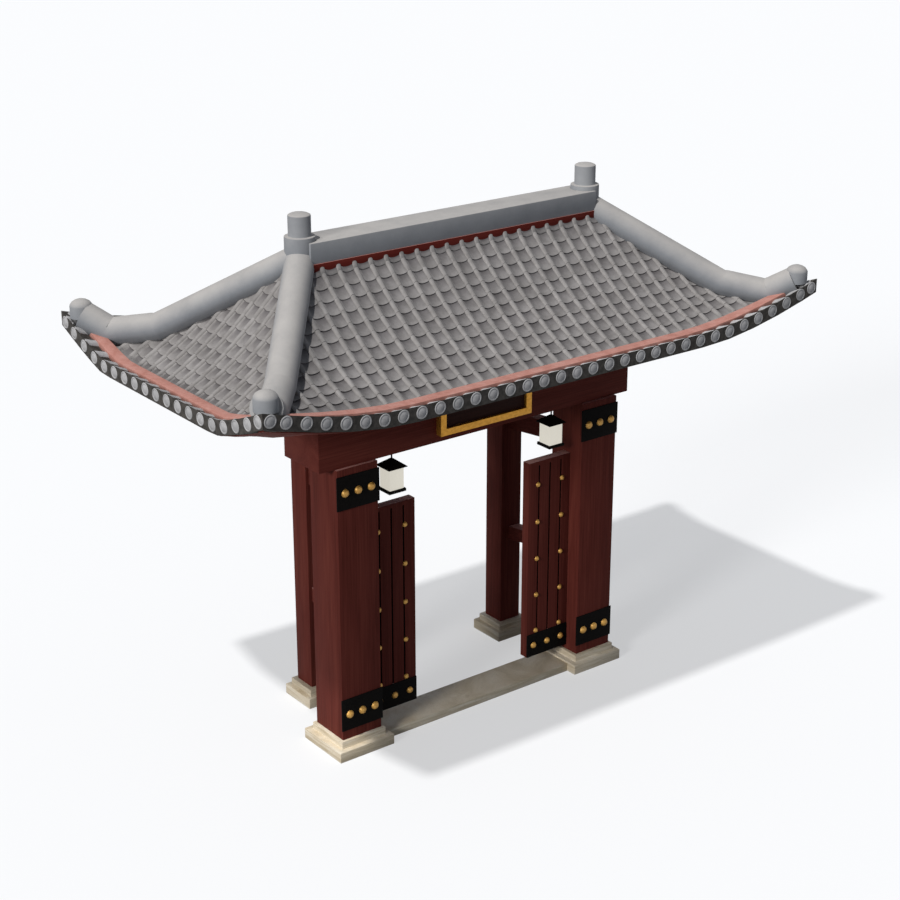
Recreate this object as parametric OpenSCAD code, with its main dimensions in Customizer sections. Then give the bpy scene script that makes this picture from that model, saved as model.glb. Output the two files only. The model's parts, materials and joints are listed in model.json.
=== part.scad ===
// Temple gate: two stout front posts and two slimmer rear posts on stone plinths carry a
// hipped, tiled roof with upswept corners. Two narrow plank leaves swing beside the passage.
// Millimetres, +Z up. The origin is on the ground below the middle of the ridge; the
// front of the gate faces -Y.

/* [Front posts] */
// Distance between the centres of the front posts
front_spacing = 3000; // [2800:10:3800]
// Side of a front post, which is square
front_post_w = 460; // [380:5:560]
// Distance of the front posts' centres in front of the ridge line
front_set = 320; // [200:10:420]
// Height of the main beam's underside above the ground
beam_bottom = 3013; // [2850:1:3600]

/* [Rear posts] */
// Distance between the centres of the rear posts
rear_spacing = 2487; // [2300:1:3000]
// Distance from the front posts' centres back to the rear posts' centres
rear_set = 992; // [900:1:1300]
// Side of a rear post, which is square
rear_post_w = 265; // [200:5:340]

/* [Plinths and sill] */
// Side of a front plinth's lower step
front_plinth_w = 640; // [600:5:760]
// Side of a front plinth's upper step
front_step_w = 520; // [480:5:590]
// Side of a rear plinth's lower step
rear_plinth_w = 450; // [400:5:560]
// Side of a rear plinth's upper step
rear_step_w = 360; // [345:5:395]
// Height of the lower step
plinth_h = 109; // [90:1:160]
// Height of the upper step
step_h = 76; // [50:1:110]
// Height of the stone sill
sill_h = 88; // [60:1:89]
// Depth of the stone sill from front to back
sill_d = 395; // [250:5:480]
// Distance of the sill's front face ahead of the front posts' centres
sill_ahead = 200; // [120:5:250]

/* [Beams and ties] */
// Length of the main beam
beam_l = 3808; // [3700:2:4300]
// Depth of the main beam from front to back
beam_d = 587; // [480:1:700]
// Distance of the main beam's front face ahead of the front posts' centres
beam_ahead = 200; // [150:1:228]
// Depth of the rear beam from front to back
rear_beam_d = 240; // [180:5:300]
// Width of the ties between front and rear posts
tie_w = 130; // [90:5:180]
// Height of the upper tie's underside above the ground
upper_tie_z = 2440; // [2100:10:2750]
// Height of the upper tie itself
upper_tie_h = 194; // [120:1:240]
// Height of the middle tie's underside above the ground
mid_tie_z = 1161; // [700:1:1800]
// Height of the middle tie itself
mid_tie_h = 150; // [90:1:220]

/* [Iron straps and studs] */
// Thickness of the iron straps on posts and leaves
strap_t = 11; // [6:1:16]
// Height of a post strap
strap_h = 337; // [220:1:400]
// Height of the lower strap's bottom edge above the ground
low_strap_z = 286; // [230:1:500]
// Height of the upper strap's bottom edge above the ground
high_strap_z = 2607; // [2400:1:2620]
// Distance between studs on a post strap
strap_stud_pitch = 148; // [110:1:170]
// Radius of a post strap's stud
strap_stud_r = 43; // [24:1:48]

/* [Leaves] */
// Width of a leaf
leaf_w = 543; // [420:1:640]
// Thickness of a leaf
leaf_t = 97; // [60:1:110]
// Height of a leaf's bottom edge above the ground
leaf_z = 244; // [200:1:300]
// Height of a leaf itself
leaf_h = 2198; // [1800:1:2300]
// Distance of a leaf's front face ahead of the front posts' centres
leaf_ahead = 61; // [20:1:100]
// Gap between a leaf's hinged edge and its post
leaf_gap = 6; // [6:1:20]
// Distance between the grooves in a leaf
groove_pitch = 144; // [100:1:160]
// Width of a groove
groove_w = 18; // [6:1:20]
// Depth of a groove
groove_d = 14; // [6:1:30]
// Distance of a groove's end below the leaf's top
groove_end = 45; // [40:5:160]
// Distance of the grooves and stud columns outward of the leaf's own middle
pattern_out = 9; // [0:1:14]
// Distance of a stud column from the middle of the pattern
leaf_stud_x = 160; // [120:1:190]
// Height of the lowest leaf studs above the ground
leaf_stud_z = 532; // [532:1:600]
// Distance of the highest leaf studs below the leaf's top
leaf_stud_end = 254; // [150:1:400]
// Radius of a leaf stud
leaf_stud_r = 29; // [16:1:30]
// Height of the iron band at a leaf's foot
leaf_band_h = 257; // [200:1:258]
// Distance between studs on a leaf's band
band_stud_pitch = 185; // [140:1:200]
// Radius of a band stud
band_stud_r = 37; // [20:1:40]

/* [Hinges] */
// Radius of a hinge pin
pin_r = 10; // [8:0.5:13]
// Running clearance around a hinge pin
pin_clear = 0.05; // [0.02:0.01:0.1]
// Height of a hinge barrel
barrel_h = 70; // [40:5:100]
// Distance of the hinges from the leaf's top and bottom ends
hinge_in = 330; // [200:10:500]

/* [Lanterns and plaque] */
// Distance of a lantern from the gate's middle
lantern_x = 993; // [900:1:1100]
// Distance of a lantern ahead of the front posts' centres
lantern_ahead = 66; // [0:1:120]
// Length of the rod above a lantern
lantern_rod = 95; // [60:5:300]
// Half width of a lantern's cap
lantern_cap_r = 109; // [90:1:130]
// Half width of a lantern's body
lantern_body_r = 82; // [60:1:88]
// Height of a lantern's body
lantern_body_h = 220; // [150:5:300]
// Width of the plaque
plaque_w = 1120; // [800:10:1400]
// Height of the plaque
plaque_h = 430; // [300:10:520]
// Height of the plaque's bottom edge above the beam's underside
plaque_up = 79; // [40:1:120]
// Width of the plaque's frame bars
plaque_bar = 68; // [40:1:90]
// Depth of the plaque's frame
plaque_d = 76; // [50:1:110]
// Depth of the plaque's panel
panel_d = 42; // [20:1:48]

/* [Roof] */
// Half length of the roof along its eaves
eave_x = 3259; // [3000:1:4000]
// Half depth of the roof from ridge line to eaves
eave_y = 1792; // [1650:1:2200]
// Half length of the ridge
ridge_x = 1705; // [1400:1:2100]
// Height of the end tiles' underside above the ground, in the middle of an eave
eave_z = 3870; // [3840:1:4400]
// Height of the band of end tiles
eave_h = 130; // [100:1:180]
// How far the corners sweep up
corner_lift = 281; // [150:1:400]
// Length of the upsweep along the front and rear eaves
sweep_x = 1460; // [900:10:1600]
// Length of the upsweep along the side eaves
sweep_y = 780; // [500:10:850]
// Rise of the tile bed from the eave band's underside to the ridge beam
bed_rise = 910; // [700:5:1200]
// How far the roof slope sags below a straight line
bed_sag = 96; // [0:2:140]
// Thickness of the tile bed, measured upright
bed_t = 100; // [60:5:140]

/* [Ridge and hips] */
// Half width of the ridge
ridge_w = 177; // [140:1:182]
// Height of the ridge above its dark strip
ridge_h = 196; // [140:1:280]
// Height of the dark strip under the ridge
ridge_strip_h = 102; // [60:1:140]
// Radius of the drum at each ridge end
drum_r = 144; // [120:1:160]
// Height that a drum stands above the ridge
drum_up = 42; // [20:1:120]
// Radius of the post on each drum
finial_r = 106; // [70:1:115]
// Height of the post on each drum
finial_h = 205; // [120:5:300]
// Radius of a hip's round ridge
hip_r = 140; // [110:1:150]
// Radius of a corner knob
knob_r = 108; // [80:1:125]
// Height of a corner knob
knob_h = 180; // [120:1:240]

/* [Hidden] */
front_y = -front_set;
rear_y = front_y + rear_set;
front_x = front_spacing / 2;
rear_x = rear_spacing / 2;
post_foot = plinth_h + step_h;
post_inner_x = front_x - front_post_w / 2;
post_front_y = front_y - front_post_w / 2;
post_back_y = front_y + front_post_w / 2;
rear_face_y = rear_y - rear_post_w / 2;
beam_front_y = front_y - beam_ahead;

// Ceiling boards: a flat middle and a soffit that follows the eaves
board_t = 40;
ceiling_z = eave_z - 150;
soffit_edge_drop = 40;
attic_floor = ceiling_z + board_t;

sliver = 0.3;
// Plan width of the flat seat beside each hip line
hip_seat = hip_r * sqrt(2) + 1;
// Rings of the roof: 0 is the ridge line and 1 is the eave
ring_top = 0.1;
ring_bend = 0.586;
ring_foot = 0.788;
ring_strip_in = 0.845;
ring_strip_out = 0.9135;
ring_hip_end = 0.95;
ring_soffit = 0.966;
ring_step = 0.004;
// A hip starts just outside the drum at the ridge's end
hip_start = max(ring_top, ((drum_r + sliver) * sqrt(2) + hip_seat) / (eave_x - ridge_x + eave_y));
strip_rings = [ring_strip_in, ring_strip_out];
slope_rings = [ring_bend, 0.69, ring_foot, ring_strip_in - ring_step];
edge_rings = [ring_strip_out + ring_step, ring_hip_end, ring_soffit];
bed_rings = concat([ring_top], hip_start > ring_top ? [hip_start] : [], [0.2, 0.33, 0.46],
    slope_rings, strip_rings);
tile_rings = concat([ring_strip_out], edge_rings, [1]);
soffit_rings = concat(slope_rings, strip_rings, edge_rings);
// Columns across a slope, between the two that border the hips
columns = 18;
sweep_power_x = 1.6;
sweep_power_y = 1.2;
strip_top_up = 90;
tile_back_up = 66;

leaf_front_y = front_y - leaf_ahead;
leaf_back_y = leaf_front_y + leaf_t;
leaf_outer_x = post_inner_x - leaf_gap;
leaf_mid_x = leaf_outer_x - leaf_w / 2;
pattern_x = leaf_mid_x + pattern_out;
leaf_stud_pitch = (leaf_z + leaf_h - leaf_stud_end - leaf_stud_z) / 4;
hinge_x = post_inner_x - 37;
hinge_y = leaf_back_y + 28;
barrel_r = pin_r + 10;
hinge_zs = [leaf_z + hinge_in, leaf_z + leaf_h - hinge_in];

ridge_z = eave_z + bed_rise;
drum_top = ridge_z + ridge_strip_h + ridge_h + drum_up;
stud_sink = 0.25;

// ---- Roof surface -------------------------------------------------------------------

function half_x(r) = ridge_x + r * (eave_x - ridge_x);
function half_y(r) = r * eave_y;
function fade(r) = max(0, (r - ring_bend) / (1 - ring_bend));
function half_of(side, r) = side % 2 == 0 ? half_x(r) : half_y(r);

// Upsweep at a place along a side, where 0 is the middle and 1 is the corner
function sweep(side, share) =
    let (length = side % 2 == 0 ? eave_x : eave_y,
         reach = side % 2 == 0 ? sweep_x : sweep_y,
         power = side % 2 == 0 ? sweep_power_x : sweep_power_y,
         near = max(0, 1 - (1 - share) * length / reach))
    corner_lift * pow(near, power);

// Position along a side of column k: the outer two columns border the hip seat
function along(side, k, r) =
    let (half = half_of(side, r), seat = min(hip_seat, 0.9 * half), inner = half - seat)
    k == 0 ? -half : k == columns + 2 ? half : -inner + 2 * inner * (k - 1) / columns;

// Sides run counter-clockwise: 0 front, 1 right, 2 rear, 3 left
function roof_point(side, k, r, height) =
    let (a = along(side, k, r), share = abs(a) / half_of(side, r),
         z = height(r) + sweep(side, share) * fade(r))
    side == 0 ? [a, -half_y(r), z] :
    side == 1 ? [half_x(r), a, z] :
    side == 2 ? [-a, half_y(r), z] : [-half_x(r), -a, z];

function bed_top(r) =
    let (t = (r - ring_top) / (ring_strip_in - ring_top))
    r > ring_strip_in
        ? eave_z + lookup(r, [[ring_strip_in, -bed_t / 3], [ring_strip_out, 30]])
        : eave_z - bed_t / 3 + (bed_rise + bed_t / 3) * (1 - t) - 4 * bed_sag * t * (1 - t);
function soffit_top(r) = attic_floor + lookup(r, [[ring_bend, 0], [ring_foot, 20],
    [ring_strip_out, 75], [ring_soffit, 150 - soffit_edge_drop], [1, 152 - soffit_edge_drop]]);
function soffit_bottom(r) = soffit_top(r) - board_t;
function bed_bottom(r) = max(soffit_top(r), bed_top(r) - bed_t);
function strip_top(r) = eave_z + strip_top_up;
function tile_top(r) = eave_z + lookup(r, [[ring_strip_out, tile_back_up], [1, eave_h]]);

// What a hip stands on, ring by ring; it steps up and down at the strip's two edges
hip_rings = concat([hip_start], [for (r = bed_rings) if (r > hip_start && r < ring_strip_in) r],
    strip_rings, [ring_strip_out + ring_step, ring_hip_end]);
function hip_floor(i) =
    i < len(hip_rings) - 4 ? bed_top(hip_rings[i]) :
    i < len(hip_rings) - 2 ? strip_top(hip_rings[i]) : tile_top(hip_rings[i]);

// Closed shell between two heights over a run of columns [[side, k], ...]. The two halves
// of a side are split into mirrored triangles, so that a hip's floor matches at either end.
module roof_shell(cols, rings, top, bottom, loop = false) {
    n = len(cols);
    m = len(rings);
    last = loop ? n - 1 : n - 2;
    points = concat(
        [for (r = rings) for (c = cols) roof_point(c[0], c[1], r, top)],
        [for (r = rings) for (c = cols) roof_point(c[0], c[1], r, bottom)]);
    function at(i, j, layer) = layer * n * m + i * n + j % n;
    faces = concat(
        [for (i = [0:m - 2]) for (j = [0:last]) for (f = cols[j][1] < (columns + 2) / 2 ? [
            [at(i, j, 0), at(i, j + 1, 0), at(i + 1, j, 0)],
            [at(i, j + 1, 0), at(i + 1, j + 1, 0), at(i + 1, j, 0)],
            [at(i, j, 1), at(i + 1, j, 1), at(i, j + 1, 1)],
            [at(i, j + 1, 1), at(i + 1, j, 1), at(i + 1, j + 1, 1)]] : [
            [at(i, j, 0), at(i, j + 1, 0), at(i + 1, j + 1, 0)],
            [at(i, j, 0), at(i + 1, j + 1, 0), at(i + 1, j, 0)],
            [at(i, j, 1), at(i + 1, j + 1, 1), at(i, j + 1, 1)],
            [at(i, j, 1), at(i + 1, j, 1), at(i + 1, j + 1, 1)]]) f],
        [for (j = [0:last]) for (f = [
            [at(0, j, 0), at(0, j, 1), at(0, j + 1, 1)],
            [at(0, j, 0), at(0, j + 1, 1), at(0, j + 1, 0)],
            [at(m - 1, j, 0), at(m - 1, j + 1, 1), at(m - 1, j, 1)],
            [at(m - 1, j, 0), at(m - 1, j + 1, 0), at(m - 1, j + 1, 1)]]) f],
        loop ? [] : [for (i = [0:m - 2]) for (f = [
            [at(i, 0, 0), at(i + 1, 0, 0), at(i + 1, 0, 1)],
            [at(i, 0, 0), at(i + 1, 0, 1), at(i, 0, 1)],
            [at(i, n - 1, 0), at(i + 1, n - 1, 1), at(i + 1, n - 1, 0)],
            [at(i, n - 1, 0), at(i, n - 1, 1), at(i + 1, n - 1, 1)]]) f]);
    polyhedron(points, faces);
}

function side_columns(side) = [for (k = [0:columns + 2]) [side, k]];
loop_columns = [for (side = [0:3]) for (k = [0:columns + 1]) [side, k]];

module tile_bed(side) {
    color("dimgray")
        roof_shell(side_columns(side), bed_rings, function (r) bed_top(r), function (r) bed_bottom(r));
}

module eave_strip() {
    color([0.62, 0.35, 0.29])
        roof_shell(loop_columns, strip_rings, function (r) strip_top(r), function (r) bed_top(r),
            loop = true);
}

module eave_tiles() {
    color([0.25, 0.26, 0.27])
        roof_shell(loop_columns, tile_rings, function (r) tile_top(r), function (r) soffit_top(r),
            loop = true);
}

module soffit() {
    color([0.3, 0.13, 0.11])
        roof_shell(loop_columns, soffit_rings, function (r) soffit_top(r),
            function (r) soffit_bottom(r), loop = true);
}

module ceiling() {
    color([0.3, 0.13, 0.11])
        translate([sliver - half_x(ring_bend), sliver - half_y(ring_bend), ceiling_z])
            cube([2 * (half_x(ring_bend) - sliver), 2 * (half_y(ring_bend) - sliver), board_t]);
}

// ---- Hips ---------------------------------------------------------------------------

hip_run = norm([eave_x - ridge_x, eave_y]);
arc_steps = 16;
knob_ring = 0.908;
knob_z = eave_z + lifted(knob_ring, 131.4);

// A height with the share of the corners' upsweep that a ring takes
function lifted(r, z) = z + corner_lift * fade(r);

// Height of a hip's centre line at a distance from the ridge end, measured in plan
function hip_centre(s) = ridge_z + lookup(s / hip_run,
    [[0, 126], [ring_bend, -609], [ring_foot, lifted(ring_foot, -825)],
        [ring_hip_end, lifted(ring_hip_end, -727)]]);

// One cross-section: floor corner, seat edges and the round between them
function hip_section(i) =
    let (r = hip_rings[i],
         floor_z = function (x) hip_floor(i),
         p0 = roof_point(0, columns + 2, r, floor_z),
         pa = roof_point(0, columns + 1, r, floor_z),
         pb = roof_point(1, 1, r, floor_z),
         c0 = [p0[0], -p0[1]],
         a = [pa[0], pa[1], pa[2]],
         b = [pb[0], pb[1], pb[2]],
         mid = [(a[0] + b[0]) / 2, (a[1] + b[1]) / 2],
         lateral = [b[0] - a[0], b[1] - a[1]],
         unit = lateral / norm(lateral),
         c = hip_centre(norm([mid[0] - ridge_x, mid[1]])),
         seat_angle = -acos(min(1, norm(lateral) / 2 / hip_r)),
         from = max(seat_angle, asin(min(1, max(-1, (a[2] + 3 - c) / hip_r)))),
         to = max(seat_angle, asin(min(1, max(-1, (b[2] + 3 - c) / hip_r)))))
    concat([p0, a],
        [for (k = [0:arc_steps]) let (g = 180 - from + (to - 180 + from) * k / arc_steps)
            [mid[0] + unit[0] * hip_r * cos(g), mid[1] + unit[1] * hip_r * cos(g), c + hip_r * sin(g)]],
        [b]);

module hip_body() {
    m = len(hip_rings);
    n = arc_steps + 4;
    points = [for (i = [0:m - 1]) for (p = hip_section(i)) p];
    function at(i, j) = i * n + j % n;
    faces = concat(
        [for (i = [0:m - 2]) for (j = [0:n - 1]) for (f = j == 0
            ? [[at(i, j), at(i + 1, j), at(i, j + 1)], [at(i + 1, j), at(i + 1, j + 1), at(i, j + 1)]]
            : [[at(i, j), at(i + 1, j), at(i + 1, j + 1)], [at(i, j), at(i + 1, j + 1), at(i, j + 1)]]) f],
        [for (j = [1:n - 2]) for (f = [[0, j, j + 1], [at(m - 1, 0), at(m - 1, j + 1), at(m - 1, j)]]) f]);
    polyhedron(points, faces);
}

module hip() {
    seat_sides = 12;
    seat_r = (knob_r + sliver) / cos(180 / seat_sides);
    color("gray") difference() {
        hip_body();
        translate([half_x(knob_ring), -half_y(knob_ring), knob_z])
            cylinder(h = knob_h, r = seat_r, $fn = seat_sides);
    }
}

module corner_knobs() {
    dome = 40;
    color("gray")
        for (sx = [-1, 1]) for (sy = [-1, 1])
            translate([sx * half_x(knob_ring), sy * half_y(knob_ring), knob_z]) {
                cylinder(h = knob_h - dome, r = knob_r, $fn = 64);
                translate([0, 0, knob_h - dome]) cylinder(h = dome, r1 = knob_r, r2 = knob_r / 3, $fn = 64);
            }
}

// ---- Ridge --------------------------------------------------------------------------

module ridge_beam() {
    low = bed_bottom(ring_top) - 20;
    color([0.3, 0.13, 0.11])
        translate([-half_x(ring_top), -half_y(ring_top), low])
            cube([2 * half_x(ring_top), 2 * half_y(ring_top), ridge_z - low]);
}

module between_drums(half_w, z, h) {
    difference() {
        translate([-ridge_x, -half_w, z]) cube([2 * ridge_x, 2 * half_w, h]);
        for (sx = [-1, 1]) translate([sx * ridge_x, 0, z - 1])
            cylinder(h = h + 2, r = drum_r + sliver, $fn = 64);
    }
}

module ridge_strip() {
    color([0.29, 0.11, 0.09]) between_drums(ridge_w + 5, ridge_z, ridge_strip_h);
}

module ridge() {
    color([0.42, 0.44, 0.46]) between_drums(ridge_w, ridge_z + ridge_strip_h, ridge_h);
}

module ridge_finials() {
    crown = 12;
    color("gray")
        for (sx = [-1, 1]) translate([sx * ridge_x, 0, 0]) {
            translate([0, 0, ridge_z]) cylinder(h = drum_top - ridge_z, r = drum_r, $fn = 64);
            translate([0, 0, drum_top]) cylinder(h = finial_h - crown, r = finial_r, $fn = 64);
            translate([0, 0, drum_top + finial_h - crown])
                cylinder(h = crown, r1 = finial_r, r2 = finial_r - 2 * crown, $fn = 64);
        }
}

// ---- Stone --------------------------------------------------------------------------

module plinth(x, y, lower_w, upper_w) {
    color([0.76, 0.7, 0.6])
        translate([x, y, 0]) {
            translate([-lower_w / 2, -lower_w / 2, 0]) cube([lower_w, lower_w, plinth_h]);
            translate([-upper_w / 2, -upper_w / 2, plinth_h]) cube([upper_w, upper_w, step_h]);
        }
}

module sill() {
    half = front_x - front_plinth_w / 2;
    color([0.76, 0.7, 0.6])
        translate([-half, front_y - sill_ahead, 0]) cube([2 * half, sill_d, sill_h]);
}

// ---- Timber frame -------------------------------------------------------------------

module post(x, y, w) {
    color([0.36, 0.16, 0.14])
        translate([x - w / 2, y - w / 2, post_foot]) cube([w, w, beam_bottom - post_foot]);
}

module main_beam() {
    color([0.33, 0.15, 0.13])
        translate([-beam_l / 2, beam_front_y, beam_bottom]) cube([beam_l, beam_d, ceiling_z - beam_bottom]);
}

module rear_beam() {
    half = rear_x + rear_post_w / 2;
    color([0.33, 0.15, 0.13])
        translate([-half, rear_y - rear_beam_d / 2, beam_bottom])
            cube([2 * half, rear_beam_d, ceiling_z - beam_bottom]);
}

// A tie runs from the back of a front post to the front of the rear post behind it
module tie(sx, z, h) {
    angle = atan2(front_x - rear_x, rear_set);
    intersection() {
        translate([sx * front_x, front_y, z]) rotate([0, 0, sx * angle])
            translate([-tie_w / 2, 0, 0]) cube([tie_w, 2 * rear_set, h]);
        translate([-eave_x, post_back_y, z - 1]) cube([2 * eave_x, rear_face_y - post_back_y, h + 2]);
    }
}

module ties(sx) {
    color([0.36, 0.16, 0.14]) {
        tie(sx, upper_tie_z, upper_tie_h);
        tie(sx, mid_tie_z, mid_tie_h);
    }
}

// ---- Iron and brass -----------------------------------------------------------------

// A domed stud on a face that looks towards -Y
module stud(x, y, z, r) {
    translate([x, y, z]) difference() {
        translate([0, r * stud_sink, 0]) sphere(r = r, $fn = 48);
        translate([-2 * r, 0, -2 * r]) cube([4 * r, 4 * r, 4 * r]);
    }
}

module post_straps() {
    w = front_post_w + 2 * strap_t;
    color([0.06, 0.06, 0.06])
        for (sx = [-1, 1]) for (z = [low_strap_z, high_strap_z])
            translate([sx * front_x - w / 2, post_front_y - strap_t, z]) cube([w, strap_t, strap_h]);
}

module post_strap_studs() {
    color([0.7, 0.52, 0.22])
        for (sx = [-1, 1]) for (z = [low_strap_z, high_strap_z]) for (k = [-1:1])
            stud(sx * front_x + k * strap_stud_pitch, post_front_y - strap_t, z + strap_h / 2,
                strap_stud_r);
}

// ---- Leaves -------------------------------------------------------------------------

module leaf(sx) {
    color([0.3, 0.13, 0.12]) difference() {
        translate([sx * leaf_mid_x - leaf_w / 2, leaf_front_y, leaf_z]) cube([leaf_w, leaf_t, leaf_h]);
        for (k = [-1:1])
            translate([sx * pattern_x + k * groove_pitch - groove_w / 2, leaf_front_y - 1,
                leaf_z + leaf_band_h])
                cube([groove_w, groove_d + 1, leaf_h - groove_end - leaf_band_h]);
    }
}

module leaf_band(sx) {
    color([0.06, 0.06, 0.06])
        translate([sx * leaf_mid_x - leaf_w / 2, leaf_front_y - strap_t, leaf_z])
            cube([leaf_w, strap_t, leaf_band_h]);
}

module leaf_studs(sx) {
    color([0.7, 0.52, 0.22]) {
        for (side = [-1, 1]) for (k = [0:4])
            stud(sx * pattern_x + side * leaf_stud_x, leaf_front_y, leaf_stud_z + k * leaf_stud_pitch,
                leaf_stud_r);
        for (k = [-1:1])
            stud(sx * leaf_mid_x + k * band_stud_pitch, leaf_front_y - strap_t, leaf_z + leaf_band_h / 2,
                band_stud_r);
    }
}

// Each eye is a plate on the leaf's back with a barrel that turns on the pin
module hinge_eyes(sx) {
    plate_l = 240;
    plate_t = 8;
    plate_h = barrel_h - 10;
    color([0.06, 0.06, 0.06])
        for (z = hinge_zs) translate([sx * hinge_x, 0, z]) difference() {
            union() {
                translate([0, hinge_y, 0]) cylinder(h = barrel_h, r = barrel_r, $fn = 48);
                translate([sx > 0 ? -plate_l : 0, leaf_back_y, 5]) cube([plate_l, plate_t, plate_h]);
                translate([sx > 0 ? -barrel_r : 0, leaf_back_y, 5])
                    cube([barrel_r, hinge_y - leaf_back_y, plate_h]);
            }
            translate([0, hinge_y, -1]) cylinder(h = barrel_h + 2, r = pin_r + pin_clear, $fn = 48);
        }
}

// Each pintle is a plate on the post with an arm that carries the upright pin
module pintles(sx) {
    arm_h = 16;
    plate_t = 8;
    reach = post_inner_x - hinge_x;
    color([0.06, 0.06, 0.06])
        for (z = hinge_zs) translate([sx * hinge_x, hinge_y, z - sliver - arm_h]) {
            cylinder(h = arm_h, r = barrel_r, $fn = 48);
            cylinder(h = arm_h + sliver + barrel_h + 8, r = pin_r, $fn = 48);
            translate([sx > 0 ? 0 : -reach, -15, 0]) cube([reach, 30, arm_h]);
            translate([sx > 0 ? reach - plate_t : -reach, -15, -30]) cube([plate_t, 60, 60 + arm_h]);
        }
}

// ---- Lanterns and plaque ------------------------------------------------------------

// A bar along Y with sloping sides; two of them crossed leave a four-sided cap
module slope_prism(low_half, high_half, h) {
    translate([0, low_half, 0]) rotate([90, 0, 0]) linear_extrude(2 * low_half)
        polygon([[-low_half, 0], [low_half, 0], [high_half, h], [-high_half, h]]);
}

module lantern_frames() {
    rod_r = 8;
    cap_top = 12;
    cap_h = 80;
    brim = 6;
    base_h = 28;
    base_r = lantern_body_r + 16;
    cap_z = beam_bottom - lantern_rod - cap_h;
    color([0.05, 0.05, 0.05])
        for (sx = [-1, 1]) translate([sx * lantern_x, front_y - lantern_ahead, 0]) {
            translate([0, 0, cap_z + cap_h / 2])
                cylinder(h = beam_bottom - cap_z - cap_h / 2, r = rod_r, $fn = 24);
            translate([-lantern_cap_r, -lantern_cap_r, cap_z]) cube([2 * lantern_cap_r, 2 * lantern_cap_r, brim]);
            translate([0, 0, cap_z + brim]) intersection() {
                slope_prism(lantern_cap_r, cap_top, cap_h - brim);
                rotate([0, 0, 90]) slope_prism(lantern_cap_r, cap_top, cap_h - brim);
            }
            translate([-base_r, -base_r, cap_z - lantern_body_h - base_h]) cube([2 * base_r, 2 * base_r, base_h]);
        }
}

module lantern_bodies() {
    cap_z = beam_bottom - lantern_rod - 80;
    color([0.88, 0.86, 0.8])
        for (sx = [-1, 1])
            translate([sx * lantern_x - lantern_body_r, front_y - lantern_ahead - lantern_body_r,
                cap_z - lantern_body_h])
                cube([2 * lantern_body_r, 2 * lantern_body_r, lantern_body_h]);
}

module plaque_frame() {
    color([0.7, 0.5, 0.19])
        translate([0, beam_front_y - plaque_d, beam_bottom + plaque_up]) difference() {
            translate([-plaque_w / 2, 0, 0]) cube([plaque_w, plaque_d, plaque_h]);
            translate([-plaque_w / 2 + plaque_bar, -1, plaque_bar])
                cube([plaque_w - 2 * plaque_bar, plaque_d + 2, plaque_h - 2 * plaque_bar]);
        }
}

module plaque_panel() {
    color([0.14, 0.08, 0.08])
        translate([-plaque_w / 2 + plaque_bar, beam_front_y - panel_d, beam_bottom + plaque_up + plaque_bar])
            cube([plaque_w - 2 * plaque_bar, panel_d, plaque_h - 2 * plaque_bar]);
}

// ---- Nodes --------------------------------------------------------------------------

plinth(-front_x, front_y, front_plinth_w, front_step_w);  // front_left_plinth
plinth(front_x, front_y, front_plinth_w, front_step_w);  // front_right_plinth
plinth(-rear_x, rear_y, rear_plinth_w, rear_step_w);  // rear_left_plinth
plinth(rear_x, rear_y, rear_plinth_w, rear_step_w);  // rear_right_plinth
sill();
post(-front_x, front_y, front_post_w);  // front_left_post
post(front_x, front_y, front_post_w);  // front_right_post
post(-rear_x, rear_y, rear_post_w);  // rear_left_post
post(rear_x, rear_y, rear_post_w);  // rear_right_post
post_straps();
post_strap_studs();
main_beam();
rear_beam();
ties(-1);  // left_ties
ties(1);  // right_ties
plaque_frame();
plaque_panel();
leaf(-1);  // left_leaf
leaf_band(-1);  // left_leaf_band
leaf_studs(-1);  // left_leaf_studs
hinge_eyes(-1);  // left_hinge_eyes
pintles(-1);  // left_pintles
leaf(1);  // right_leaf
leaf_band(1);  // right_leaf_band
leaf_studs(1);  // right_leaf_studs
hinge_eyes(1);  // right_hinge_eyes
pintles(1);  // right_pintles
lantern_frames();
lantern_bodies();
ceiling();
soffit();
tile_bed(0);  // front_tile_bed
tile_bed(2);  // rear_tile_bed
tile_bed(3);  // left_tile_bed
tile_bed(1);  // right_tile_bed
eave_strip();
eave_tiles();
ridge_beam();
ridge_strip();
ridge();
mirror([1, 0, 0]) hip();  // front_left_hip
hip();  // front_right_hip
mirror([1, 0, 0]) mirror([0, 1, 0]) hip();  // rear_left_hip
mirror([0, 1, 0]) hip();  // rear_right_hip
corner_knobs();
ridge_finials();
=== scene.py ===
"""A temple gate: stone plinths, stained timber frame, hinged plank leaves, lanterns, a
blank plaque and a hipped roof of grey clay tiles with upswept corners."""

import json
import math
import random

import bmesh
import bpy
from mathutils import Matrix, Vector
from mathutils.bvhtree import BVHTree


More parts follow.
